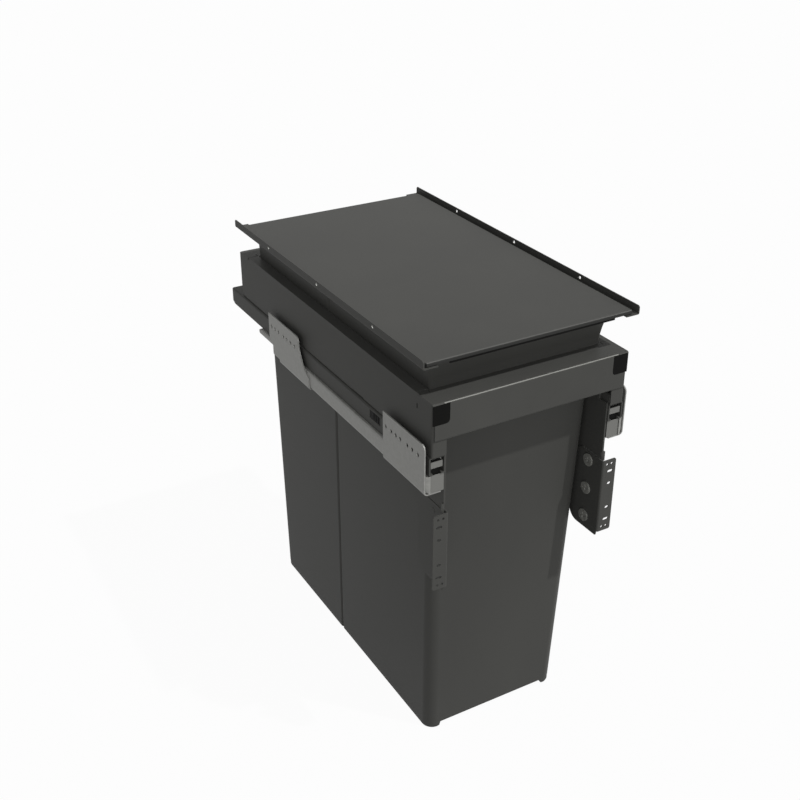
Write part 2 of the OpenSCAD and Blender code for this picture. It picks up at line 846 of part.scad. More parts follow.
module cage(y0, count, z) {
    l = (count - 1) * ball_pitch;
    margin = ball_pitch / 3;
    difference() {
        block(slide_x - cage_w / 2, y0 - margin, z - cage_t / 2,
              slide_x + cage_w / 2, y0 + l + margin, z + cage_t / 2);
        // windows between the rows keep the cage light
        for (i = [0 : count - 2]) {
            block(slide_x - ball_row / 6, y0 + (i + 1 / 3) * ball_pitch, z - cage_t,
                  slide_x + ball_row / 6, y0 + (i + 2 / 3) * ball_pitch, z + cage_t);
        }
    }
    for (i = [0 : count - 1]) {
        for (s = [-1, 1]) {
            translate([slide_x + s * ball_row / 2, y0 + i * ball_pitch, z])
                sphere(d = ball_d, $fn = ball_fn);
        }
    }
}

module upper_ball_cage() {
    cage(cage_front, upper_balls, middle_top + race_h / 2);
}

module lower_ball_cage() {
    cage(cage_front, lower_balls, (middle_bot + rail_bot + rail_t) / 2);
}

module middle_slide_right() {
    color("LightGray") placed() middle_slide();
}

module middle_slide_left() {
    color("LightGray") placed() left() middle_slide();
}

module slide_nose_right() {
    color("Gainsboro") placed() slide_nose();
}

module slide_nose_left() {
    color("Gainsboro") placed() left() slide_nose();
}

module upper_ball_cage_right() {
    color("WhiteSmoke") placed() upper_ball_cage();
}

module upper_ball_cage_left() {
    color("WhiteSmoke") placed() left() upper_ball_cage();
}

module lower_ball_cage_right() {
    color("WhiteSmoke") placed() lower_ball_cage();
}

module lower_ball_cage_left() {
    color("WhiteSmoke") placed() left() lower_ball_cage();
}

// Drawer slide and catch

module slide_section() {
    top = slide_top;
    for (s = [-1, 1]) {
        a = slide_x + s * slide_w / 2;
        bend(a - s * rail_r, top - rail_r, rail_r, rail_t, s, 1);
        rect(min(a, a - s * rail_t), slide_bot + rail_t, max(a, a - s * rail_t), top - rail_r);
        rect(min(a, a - s * (rail_t + rail_lip)), slide_bot,
             max(a, a - s * (rail_t + rail_lip)), slide_bot + rail_t);
    }
    rect(slide_in + rail_r, top - rail_t, slide_out - rail_r, top);
}

module drawer_slide() {
    z1 = slide_top - window_drop;
    difference() {
        run(slide_front, slide_rear) slide_section();
        // lower rear corner is cut away
        slab(slide_in - cut, slide_out + cut)
            polygon([[slide_rear - slide_cut, slide_bot - cut], [slide_rear - slide_cut, slide_bot],
                [slide_rear, slide_bot + slide_cut / 2], [slide_rear + cut, slide_bot + slide_cut / 2],
                [slide_rear + cut, slide_bot - cut]]);
        // window for the catch
        block(slide_out - rail_t - cut, window_y, z1 - window_h,
              slide_out + cut, window_y + window_l, z1);
    }
}

module slide_catch() {
    z1 = slide_top - window_drop;
    x1 = slide_out - rail_t;
    block(x1 - catch_t, window_y - catch_lap, z1 - window_h - catch_lap,
          x1, window_y + window_l + catch_lap, z1 + catch_gap / 2);
    block(x1 - catch_t, window_y + catch_gap, z1 - window_h + catch_gap,
          slide_out - catch_gap, window_y + window_l - catch_gap, z1 - catch_gap);
    // raised ribs of the catch
    for (i = [1 : 3]) {
        block(x1, window_y + i * window_l / 5, z1 - window_h + 2 * catch_gap,
              slide_out, window_y + (i + 0.4) * window_l / 5, z1 - 2 * catch_gap);
    }
}

module drawer_slide_right() {
    color("DarkSlateGray") placed() drawer_slide();
}

module drawer_slide_left() {
    color("DarkSlateGray") placed() left() drawer_slide();
}

module slide_catch_right() {
    color("Black") placed() slide_catch();
}

module slide_catch_left() {
    color("Black") placed() left() slide_catch();
}

// Drawer frame

module side_section() {
    bot = -frame_h;
    rect(frame_x - sheet, bot + fold_r, frame_x, 0);
    bend(frame_x - fold_r, bot + fold_r, fold_r, sheet, 1, -1);
    rect(side_in + fold_r, bot, frame_x - fold_r, bot + sheet);
    bend(side_in + fold_r, bot + fold_r, fold_r, sheet, -1, -1);
    rect(side_in, bot + fold_r, side_in + sheet, bot + side_lip);
}

module frame_side() {
    y0 = sheet;
    difference() {
        union() {
            run(y0 + fold_r, frame_d) side_section();
            // return behind the front bar
            rise(-frame_h + edge_gap, 0) {
                bend(frame_x - fold_r, y0 + fold_r, fold_r, sheet, 1, -1);
                rect(side_in, y0, frame_x - fold_r, y0 + sheet);
            }
        }
        // room for the flanges of front bar and rear wall
        block(side_in - cut, -cut, -sheet, frame_x + cut, flange_d + edge_gap, cut);
        block(side_in - cut, frame_d - flange_d - edge_gap, -sheet,
              frame_x + cut, frame_d + cut, cut);
        // lip stops short of the rear wall
        block(side_in - cut, frame_d - 2 * sheet, -frame_h + sheet,
              side_in + fold_r + edge_gap, frame_d + cut, 0);
        // slot near the front
        slab(frame_x - sheet - cut, frame_x + cut)
            slot2d(side_slot_y, -side_slot_z, side_slot_h, side_slot_w, false);
        // notch above the drawer slide
        block(frame_x - fold_r, side_notch_y, -frame_h - cut,
              frame_x + cut, side_notch_y + side_notch_l, -frame_h + side_notch_h);
        // window for the plug of the insert
        block(plug_x0() - insert_gap, -cut, plug_z0() - insert_gap,
              plug_x0() + plug_w + insert_gap, y0 + sheet + cut, plug_z0() + plug_h + insert_gap);
        // holes for the rivets of the bracket arm
        for (p = arm_rivet_places()) {
            translate([side_in - cut, p[0], p[1]]) rotate([0, 90, 0])
                cylinder(r = rivet_d / 2 + fit, h = sheet + 2 * cut, $fn = arc_fn);
        }
    }
}

function plug_x0() = frame_x - insert_w / 2 - plug_w / 2;

function plug_z0() = -(insert_h + sheet) / 2 - plug_h / 2;

function arm_rivet_places() = [
    [arm_neck + (arm_rear - arm_neck) / 4, arm_top - side_lip / 2 + edge_gap],
    [arm_rear - (arm_rear - arm_neck) / 4, arm_top - side_lip / 2 + edge_gap]
];

module frame_side_right() {
    color("DimGray") placed() frame_side();
}

module frame_side_left() {
    color("DimGray") placed() left() frame_side();
}

module bar_section() {
    // drawn in Y and Z
    rect(0, -bar_h + fold_r, sheet, -fold_r);
    bend(fold_r, -fold_r, fold_r, sheet, -1, 1);
    rect(fold_r, -sheet, flange_d, 0);
    bend(fold_r, -bar_h + fold_r, fold_r, sheet, -1, -1);
    rect(fold_r, -bar_h, bar_return, -bar_h + sheet);
}

module front_bar() {
    end_x = frame_x - fold_r;
    inner_x = bracket_in - edge_gap;
    insert_x = frame_x - insert_w - insert_gap;
    color("DimGray") placed() difference() {
        slab(-frame_x, frame_x) bar_section();
        for (s = [-1, 1]) {
            // face ends short of the corner, flange runs on above the side
            block(min(s * end_x, s * (frame_x + cut)), -cut, -bar_h - cut,
                  max(s * end_x, s * (frame_x + cut)), bar_return + cut, -sheet);
            // return stops before the bracket arm
            block(min(s * inner_x, s * (frame_x + cut)), sheet, -bar_h - cut,
                  max(s * inner_x, s * (frame_x + cut)), bar_return + cut, -sheet);
            // opening for the corner insert
            on_side(s) insert_opening(insert_x);
        }
    }
}

// Cuts the corner opening out of the face of the front bar
module insert_opening(insert_x) {
    z0 = -insert_h - insert_gap;
    run(-cut, sheet + cut) difference() {
        rect(insert_x, z0, frame_x + cut, -sheet);
        difference() {
            rect(insert_x - cut, z0 - cut, insert_x + insert_r, z0 + insert_r);
            translate([insert_x + insert_r, z0 + insert_r])
                circle(r = insert_r, $fn = arc_fn);
        }
    }
}

module corner_insert() {
    x0 = frame_x - insert_w;
    run(insert_gap, sheet) difference() {
        rect(x0, -insert_h, frame_x, -sheet);
        difference() {
            rect(x0 - cut, -insert_h - cut, x0 + insert_r, -insert_h + insert_r);
            translate([x0 + insert_r, -insert_h + insert_r]) circle(r = insert_r, $fn = arc_fn);
        }
    }
    block(plug_x0(), sheet / 2, plug_z0(), plug_x0() + plug_w, plug_d, plug_z0() + plug_h);
}

module corner_insert_right() {
    color("Black") placed() corner_insert();
}

module corner_insert_left() {
    color("Black") placed() left() corner_insert();
}

module rear_wall() {
    inner_x = frame_x - sheet;
    color("DimGray") placed() difference() {
        union() {
            slab(-inner_x, inner_x) {
                rect(frame_d - sheet, -frame_h + sheet, frame_d, -fold_r);
                bend(frame_d - fold_r, -fold_r, fold_r, sheet, 1, 1);
                rect(frame_d - flange_d, -sheet, frame_d - fold_r, 0);
            }
            // flange runs on over the frame sides and wraps their outer faces
            block(-frame_x - wrap_t, frame_d - flange_d, -sheet,
                  frame_x + wrap_t, frame_d - fold_r, 0);
            for (s = [-1, 1]) {
                block(min(s * frame_x, s * (frame_x + wrap_t)), frame_d - flange_d, -wrap_h,
                      max(s * frame_x, s * (frame_x + wrap_t)), frame_d - fold_r, 0);
            }
        }
        for (s = [-1, 1]) {
            block(s * slit_x - slit_w / 2, frame_d - flange_d - cut, -sheet - cut,
                  s * slit_x + slit_w / 2, frame_d - flange_d + slit_l, cut);
            // room for the fold at the foot of the frame side
            block(min(s * (frame_x - fold_r), s * frame_x), frame_d - sheet - cut,
                  -frame_h, max(s * (frame_x - fold_r), s * frame_x), frame_d + cut,
                  -frame_h + fold_r);
        }
    }
}

// Bracket arms and front brackets

module arm_outline() {
    slit_z = slit_top - arm_slit;
    low = -arm_drop;
    difference() {
        union() {
            rect(arm_neck, low + arm_r, arm_rear, arm_top);
            rect(arm_front, low + arm_r, arm_neck + cut, -frame_h + sheet);
            rect(arm_front, low, arm_rear - arm_r, low + arm_r);
            translate([arm_rear - arm_r, low + arm_r]) circle(r = arm_r, $fn = arc_fn);
        }
        rect(arm_front - cut, slit_z, arm_slit_rear, slit_top);
        translate([arm_slit_rear, (slit_z + slit_top) / 2])
            circle(d = arm_slit_hole, $fn = arc_fn);
    }
}

module bracket_arm() {
    r = fold_r;
    lip_x = arm_x + r + arm_lip_w;
    difference() {
        union() {
            slab(arm_x, side_in) difference() {
                arm_outline();
                rect(arm_front - cut, slit_top - arm_lip_drop,
                     arm_front + r, slit_top + arm_lip_h);
            }
            // short lip folded outward across the front of the slit
            rise(slit_top - arm_lip_drop, slit_top + arm_lip_h) {
                bend(arm_x + r, arm_front + r, r, arm_t, -1, -1);
                rect(arm_x + r, arm_front, lip_x, arm_front + arm_t);
            }
        }
        for (p = arm_rivet_places()) {
            translate([arm_x - cut, p[0], p[1]]) rotate([0, 90, 0])
                cylinder(r = rivet_d / 2 + fit, h = arm_t + 2 * cut, $fn = arc_fn);
        }
        for (i = [-1 : 1]) {
            translate([arm_x - cut, screw_y, -bracket_mid + i * screw_pitch]) rotate([0, 90, 0])
                cylinder(r = screw_d / 2 + fit, h = arm_t + 2 * cut, $fn = arc_fn);
        }
    }
}

module bracket_arm_right() {
    color("DimGray") placed() bracket_arm();
}

module bracket_arm_left() {
    color("DimGray") placed() left() bracket_arm();
}

module front_bracket() {
    top = -bracket_mid + bracket_h / 2;
    bot = -bracket_mid - bracket_h / 2;
    low = bot - bracket_extra;
    r = fold_r;
    slot_x = bracket_x - slot_inset;
    difference() {
        union() {
            // plate on the arm, rounded at its rear corners
            slab(bracket_in, arm_x) difference() {
                rect(r, low, bracket_rear, top);
                for (z = [low, top]) {
                    t = z == low ? 1 : -1;
                    difference() {
                        rect(bracket_rear - arm_r, min(z, z + t * arm_r) - (t > 0 ? cut : 0),
                             bracket_rear + cut, max(z, z + t * arm_r) + (t > 0 ? 0 : cut));
                        translate([bracket_rear - arm_r, z + t * arm_r])
                            circle(r = arm_r, $fn = arc_fn);
                    }
                }
            }
            // front fold and flange
            rise(bot, top) {
                bend(bracket_in + r, r, r, sheet, -1, -1);
                rect(bracket_in + r, 0, bracket_x - r, sheet);
            }
            run(0, sheet) rounded_rect(bracket_x - 3 * r, bot, bracket_x, top, r);
        }
        run(-cut, sheet + cut) {
            for (s = [-1, 1]) {
                for (k = [-1, 1]) {
                    translate([slot_x - pair_w / 4 + k * pair_w / 2, -bracket_mid + s * pair_half])
                        circle(d = pair_d, $fn = arc_fn);
                }
                slot2d(slot_x, -bracket_mid + s * long_half, long_slot, slot_w, true);
                slot2d(slot_x, -bracket_mid + s * short_half, short_slot, slot_w, true);
            }
        }
        slab(bracket_in - cut, arm_x + cut) {
            for (i = [-1 : 1]) {
                slot2d(screw_y, -bracket_mid + i * screw_pitch,
                       screw_d + screw_travel, screw_d + 2 * fit, true);
            }
        }
    }
}

module front_bracket_right() {
    color("DimGray") placed() front_bracket();
}

module front_bracket_left() {
    color("DimGray") placed() left() front_bracket();
}

module bracket_screw() {
    x0 = bracket_in - screw_head_t;
    difference() {
        union() {
            translate([x0, 0, 0]) rotate([0, 90, 0])
                cylinder(d = screw_head, h = screw_head_t, $fn = arc_fn);
            translate([bracket_in, 0, 0]) rotate([0, 90, 0])
                cylinder(d = screw_d, h = sheet + arm_t + screw_tip, $fn = arc_fn);
        }
        block(x0 - cut, -recess_l / 2, -recess_w / 2, x0 + recess_t, recess_l / 2, recess_w / 2);
        block(x0 - cut, -recess_w / 2, -recess_l / 2, x0 + recess_t, recess_w / 2, recess_l / 2);
    }
}

module bracket_screws() {
    color("SlateGray") placed() for (s = [-1, 1]) {
        for (i = [-1 : 1]) {
            on_side(s) translate([0, screw_y, -bracket_mid + i * screw_pitch])
                bracket_screw();
        }
    }
}

module arm_rivets() {
    color("DimGray") placed() for (s = [-1, 1]) {
        for (p = arm_rivet_places()) {
            on_side(s) translate([arm_x, p[0], p[1]]) rotate([0, 90, 0]) {
                cylinder(d = rivet_d, h = arm_t + sheet, $fn = arc_fn);
                translate([0, 0, -rivet_h / 2])
                    cylinder(d = rivet_head, h = rivet_h / 2, $fn = arc_fn);
                translate([0, 0, arm_t + sheet])
                    cylinder(d = rivet_head, h = rivet_h, $fn = arc_fn);
            }
        }
    }
}

// Bins

// Level outline of a bin: half width h, front end a, rear end b, height z. The
// front corners have radius rf, the rear ones rr, both less the inset i.
function level(h, a, b, z, rf, rr, i) =
    let (qf = max(rf - i, lap), qr = max(rr - i, lap))
    concat(
        [for (k = [0 : corner_steps]) let (w = k * quarter / corner_steps)
            [h - i - qr + qr * cos(w), b - i - qr + qr * sin(w), z]],
        [for (k = [0 : corner_steps]) let (w = quarter + k * quarter / corner_steps)
            [-h + i + qr + qr * cos(w), b - i - qr + qr * sin(w), z]],
        [for (k = [0 : corner_steps]) let (w = 2 * quarter + k * quarter / corner_steps)
            [-h + i + qf + qf * cos(w), a + i + qf + qf * sin(w), z]],
        [for (k = [0 : corner_steps]) let (w = 3 * quarter + k * quarter / corner_steps)
            [h - i - qf + qf * cos(w), a + i + qf + qf * sin(w), z]]
    );

// Body of a bin seen as a stack of levels, from the outer floor up over the rim
// and down again to the inner floor. e is the step of the collar over the body.
function levels(y0, y1, f0, f1, rf, rr, ff, fr) =
    let (
        t = bin_wall,
        low = -bin_depth,
        hb = bin_foot_half,
        e = collar_step,
        c = bin_half + collar,
        m = flare_mid,
        u = flare_top
    )
    concat(
        [for (w = [0 : quarter / floor_steps : quarter])
            level(hb, f0, f1, low + bin_floor_r * (1 - cos(w)), rf, rr,
                  bin_floor_r * (1 - sin(w)))],
        [
            level(bin_half, y0 + e, y1 - e, -collar_drop, rf, rr, 0),
            level(c, y0, y1, -collar_drop, rf, rr, 0),
            level(c + m, y0 - ff * m, y1 + fr * m, collar_mid, rf, rr, 0),
            level(c + u, y0 - ff * u, y1 + fr * u, rim_h, rf, rr, 0),
            level(c + u, y0 - ff * u, y1 + fr * u, rim_h, rf, rr, t),
            level(c + m, y0 - ff * m, y1 + fr * m, collar_mid, rf, rr, t),
            level(c, y0, y1, t - collar_drop, rf, rr, t),
            level(bin_half, y0 + e, y1 - e, t - collar_drop, rf, rr, t)
        ],
        [for (w = [quarter : -quarter / floor_steps : 0])
            level(hb, f0, f1, low + bin_floor_t + bin_floor_r * (1 - cos(w)), rf, rr,
                  t + bin_floor_r * (1 - sin(w)))]
    );

// Closed skin through a stack of levels
module stacked(stack) {
    n = len(stack[0]);
    m = len(stack);
    polyhedron(
        points = [for (ring = stack) each ring],
        faces = concat(
            [[for (j = [0 : n - 1]) j]],
            [for (k = [0 : m - 2]) for (j = [0 : n - 1])
                [k * n + j, (k + 1) * n + j, (k + 1) * n + (j + 1) % n]],
            [for (k = [0 : m - 2]) for (j = [0 : n - 1])
                [k * n + j, (k + 1) * n + (j + 1) % n, k * n + (j + 1) % n]],
            [[for (j = [n - 1 : -1 : 0]) (m - 1) * n + j]]
        )
    );
}

// Bin between y0 and y1 at the frame top and f0 and f1 at the floor. rf and rr are
// the front and rear corner radii, ff and fr are 1 where that end flares outward.
module bin(y0, y1, f0, f1, rf, rr, ff, fr, ribs) {
    stacked(levels(y0, y1, f0, f1, rf, rr, ff, fr));
    bin_ribs(ribs);
    bin_skids(f0, f1, rf, rr);
}

module bin_ribs(places) {
    x0 = bin_half - bin_wall / 2 - (bin_half - bin_foot_half) * (-arm_top) / bin_depth;
    x1 = side_in + sheet + edge_gap;
    for (s = [-1, 1]) {
        for (y = places) {
            block(min(s * x0, s * x1), y - rib_t / 2, arm_top,
                  max(s * x0, s * x1), y + rib_t / 2, bin_wall / 2 - collar_drop);
        }
    }
}

// Level outline of a skid on the right: i is its inset, j moves its inner side
function skid_level(f0, f1, z, rf, rr, i, j) =
    let (h = bin_foot_half, x0 = bin_foot_half - skid_w + i + j)
    concat(
        [for (k = [0 : corner_steps]) let (w = k * quarter / corner_steps)
            [h - rr + (rr - i) * cos(w), f1 - rr + (rr - i) * sin(w), z]],
        [[x0, f1 - i, z], [x0, f0 + i, z]],
        [for (k = [0 : corner_steps]) let (w = 3 * quarter + k * quarter / corner_steps)
            [h - rf + (rf - i) * cos(w), f0 + rf + (rf - i) * sin(w), z]]
    );

module bin_skids(f0, f1, rf, rr) {
    top = bin_floor_r - bin_depth;
    i = skid_inset;
    e = skid_r;
    for (s = [-1, 1]) {
        on_side(s) stacked([
            skid_level(f0, f1, -drop, rf, rr, i + e, skid_slope),
            skid_level(f0, f1, -drop + e * (1 - cos(quarter / 2)), rf, rr,
                       i + e * (1 - sin(quarter / 2)), skid_slope),
            skid_level(f0, f1, -drop + e, rf, rr, i, skid_slope / 2),
            skid_level(f0, f1, top, rf, rr, i, 0)
        ]);
    }
}

module front_bin() {
    span = bin_split - bin_front;
    color("Gray") placed()
        bin(bin_front, bin_split - bin_gap / 2, bin_front_foot, bin_split_foot - bin_gap / 2,
            bin_r, bin_inner_r, 1, 0,
            [for (k = front_rib_shares) bin_front + k * span]);
}

module rear_bin() {
    span = bin_back - bin_split;
    color("Gray") placed()
        bin(bin_split + bin_gap / 2, bin_back, bin_split_foot + bin_gap / 2, bin_back_foot,
            bin_inner_r, bin_r, 0, 1,
            [for (k = rear_rib_shares) bin_split + k * span]);
}

lid_plate();
lid_rail_left();
lid_rail_right();
cabinet_rail_left();
cabinet_rail_right();
rail_end_block_left();
rail_end_block_right();
front_fixing_plate_left();
front_fixing_plate_right();
rear_fixing_plate_left();
rear_fixing_plate_right();
fixing_plate_rivets();
middle_slide_left();
middle_slide_right();
slide_nose_left();
slide_nose_right();
upper_ball_cage_left();
upper_ball_cage_right();
lower_ball_cage_left();
lower_ball_cage_right();
drawer_slide_left();
drawer_slide_right();
slide_catch_left();
slide_catch_right();
frame_side_left();
frame_side_right();
front_bar();
rear_wall();
corner_insert_left();
corner_insert_right();
bracket_arm_left();
bracket_arm_right();
front_bracket_left();
front_bracket_right();
bracket_screws();
arm_rivets();
front_bin();
rear_bin();
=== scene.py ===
"""Looks of a pull-out waste bin unit: folded sheet frame, runners, two bins and a lid.

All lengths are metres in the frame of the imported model: -Y is the front, +Z is up.
"""

import json
import logging
import math
from dataclasses import dataclass, field
from enum import Enum
from typing import Callable, Sequence

import bmesh
import bpy
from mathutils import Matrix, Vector

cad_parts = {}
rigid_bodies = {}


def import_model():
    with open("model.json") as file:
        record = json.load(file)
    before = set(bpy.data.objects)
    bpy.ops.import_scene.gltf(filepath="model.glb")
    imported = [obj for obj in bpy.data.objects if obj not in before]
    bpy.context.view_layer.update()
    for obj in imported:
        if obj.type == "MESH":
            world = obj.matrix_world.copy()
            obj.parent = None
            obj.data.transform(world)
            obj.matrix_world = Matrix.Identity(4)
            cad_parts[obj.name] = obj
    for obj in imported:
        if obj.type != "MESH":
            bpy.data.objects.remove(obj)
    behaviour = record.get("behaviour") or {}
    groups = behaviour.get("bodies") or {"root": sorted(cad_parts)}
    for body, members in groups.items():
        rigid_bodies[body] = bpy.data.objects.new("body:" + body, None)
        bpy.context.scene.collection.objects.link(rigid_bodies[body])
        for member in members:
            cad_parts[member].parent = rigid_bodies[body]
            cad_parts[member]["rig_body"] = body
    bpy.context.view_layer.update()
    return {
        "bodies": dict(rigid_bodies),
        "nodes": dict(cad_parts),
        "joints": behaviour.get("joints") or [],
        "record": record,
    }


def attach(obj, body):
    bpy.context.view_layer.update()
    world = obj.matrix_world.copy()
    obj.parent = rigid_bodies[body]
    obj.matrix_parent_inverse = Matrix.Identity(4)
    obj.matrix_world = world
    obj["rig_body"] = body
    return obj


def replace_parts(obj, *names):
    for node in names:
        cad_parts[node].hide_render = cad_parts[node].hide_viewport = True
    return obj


log = logging.getLogger("waste_bin_unit")

Colour = tuple[float, float, float]

WHITE: Colour = (1.0, 1.0, 1.0)

MM = 0.001
FRONT = -0.25425
"""Y of the front face of the front bar."""
TOP = 0.478
"""Z of the top edge of the drawer frame."""
WELD = 1e-6
"""Points of a CAD mesh closer than this are one."""
FLAT_ANGLE = math.radians(0.6)
"""Faces that meet at less than this are joined."""
EDGE_ANGLE = math.radians(35)
"""Edges sharper than this are rounded."""
SHADE_ANGLE = math.radians(38)
"""Edges sharper than this stay crisp in the shading."""


def linear(code: str) -> Colour:
    """Turns a colour such as "4b4b48" into linear red, green and blue.

    Args:
        code: six hexadecimal digits, as seen on a screen.

    Returns:
        The three linear values.
    """

    def channel(pair: str) -> float:
        """One channel, from two digits to a linear value."""
        c = int(pair, 16) / 255
        return c / 12.92 if c <= 0.04045 else ((c + 0.055) / 1.055) ** 2.4

    return channel(code[0:2]), channel(code[2:4]), channel(code[4:6])


def round_off(bm: bmesh.types.BMesh, edges: list, width: float, segments: int, clamp: bool = True) -> None:
    """Bevels edges of a shape.

    Args:
        bm: the shape.
        edges: the edges to bevel.
        width: how far each side of an edge is cut back.
        segments: steps round the bevel.
        clamp: whether the cuts stop where they would meet.
    """
    bmesh.ops.bevel(
        bm,
        geom=edges,
        offset=width,
        offset_type="OFFSET",
        segments=segments,
        profile=0.5,
        affect="EDGES",
        clamp_overlap=clamp,
        material=-1,
    )


def both(stem: str) -> tuple[str, str]:
    """The left and the right node of a pair."""
    return f"{stem}_left", f"{stem}_right"


class Grain(Enum):
    """Kinds of surface that the finishes draw their texture from."""

    POWDER = "powder"
    SPANGLE = "spangle"
    MOULDED = "moulded"
    TURNED = "turned"


class Socket:
    """A shader value whose operators add Math nodes to its tree."""

    def __init__(self, shop: "Shop", link: bpy.types.NodeSocket) -> None:
        """Wraps one output socket of a tree."""
        self.shop = shop
        self.link = link

    def _math(self, operation: str, *values: object) -> "Socket":
        """Adds one Math node and returns its result."""
        return self.shop.add("ShaderNodeMath", {"operation": operation}, dict(enumerate(values)))

    def __add__(self, other: object) -> "Socket":
        """Sum with a number or a value."""
        return self._math("ADD", self, other)

    def __mul__(self, other: object) -> "Socket":
        """Product with a number or a value."""
        return self._math("MULTIPLY", self, other)

    def __sub__(self, other: object) -> "Socket":
        """This value less the other."""
        return self._math("SUBTRACT", self, other)

    def above(self, low: float, high: float) -> "Socket":
        """Ramps from 0 at low to 1 at high.

        Args:
            low: value that gives 0.
            high: value that gives 1.

        Returns:
            The clamped ramp.
        """
        return self.shop.add(
            "ShaderNodeMapRange", {"clamp": True}, {"Value": self, "From Min": low, "From Max": high}
        )


class Shop:
    """Builds the node tree of one material or world."""

    def __init__(self, owner: bpy.types.Material | bpy.types.World) -> None:
        """Empties the tree of its owner."""
        self.owner = owner
        owner.use_nodes = True
        self.tree = owner.node_tree
        self.tree.nodes.clear()

    def add(
        self, kind: str, settings: dict[str, object], inputs: dict[object, object], out: object = 0
    ) -> Socket:
        """Adds any node.

        Args:
            kind: the node's type.
            settings: properties that are set first.
            inputs: socket name or number to a number, a colour or a Socket.
            out: name or number of the output that is returned.

        Returns:
            The wanted output.
        """
        node = self.tree.nodes.new(kind)
        for key, value in settings.items():
            setattr(node, key, value)
        for key, value in inputs.items():
            socket = node.inputs[key]
            if isinstance(value, Socket):
                self.tree.links.new(value.link, socket)
            elif isinstance(value, tuple) and len(value) == 3 and socket.type == "RGBA":
                socket.default_value = (*value, 1.0)
            else:
                socket.default_value = value
        return Socket(self, node.outputs[out])

    def place(self, scale: tuple[float, float, float] = (1.0, 1.0, 1.0)) -> Socket:
        """Object coordinates, stretched by scale."""
        spot = self.add("ShaderNodeTexCoord", {}, {}, "Object")
        return self.add("ShaderNodeMapping", {}, {"Vector": spot, "Scale": scale})

    def noise(self, spot: Socket, scale: float, detail: float, rough: float = 0.5) -> Socket:
        """Noise from 0 to 1 with a feature size of about one over scale metres."""
        return self.add(
            "ShaderNodeTexNoise", {}, {"Vector": spot, "Scale": scale, "Detail": detail, "Roughness": rough}
        )

    def cells(self, spot: Socket, scale: float) -> Socket:
        """Flat random patches, one value from 0 to 1 in each."""
        patch = self.add("ShaderNodeTexVoronoi", {"feature": "F1"}, {"Vector": spot, "Scale": scale}, "Color")
        return self.add("ShaderNodeSeparateColor", {}, {"Color": patch})

    def mix(self, share: object, first: object, second: object) -> Socket:
        """Colour between first and second by share; the numbers are the node's colour sockets."""
        return self.add("ShaderNodeMix", {"data_type": "RGBA"}, {0: share, 6: first, 7: second}, 2)

    def bump(self, height: Socket, depth: float, strength: float) -> Socket:
        """Normal of a surface raised by height times depth metres."""
        return self.add("ShaderNodeBump", {}, {"Height": height, "Distance": depth, "Strength": strength})

    def finish(self, **inputs: object) -> bpy.types.Material:
        """Closes the tree with a Principled shader.

        Args:
            inputs: shader socket, with _ for a space, to its value or Socket.

        Returns:
            The finished material.
        """
        shader = self.add("ShaderNodeBsdfPrincipled", {}, {k.replace("_", " "): v for k, v in inputs.items()})
        self.add_output(shader)
        return self.owner

    def add_output(self, shader: Socket, kind: str = "ShaderNodeOutputMaterial") -> None:
        """Links a shader to the output of the material or world."""
        out = self.tree.nodes.new(kind)
        self.tree.links.new(shader.link, out.inputs["Surface"])

    def seen(self) -> Socket:
        """1 for rays from the camera, off gloss or through glass, else 0."""
        path = self.tree.nodes.new("ShaderNodeLightPath")
        rays = ("Is Camera Ray", "Is Glossy Ray", "Is Transmission Ray")
        camera, gloss, through = (Socket(self, path.outputs[ray]) for ray in rays)
        return (camera + gloss + through).above(0.0, 1.0)


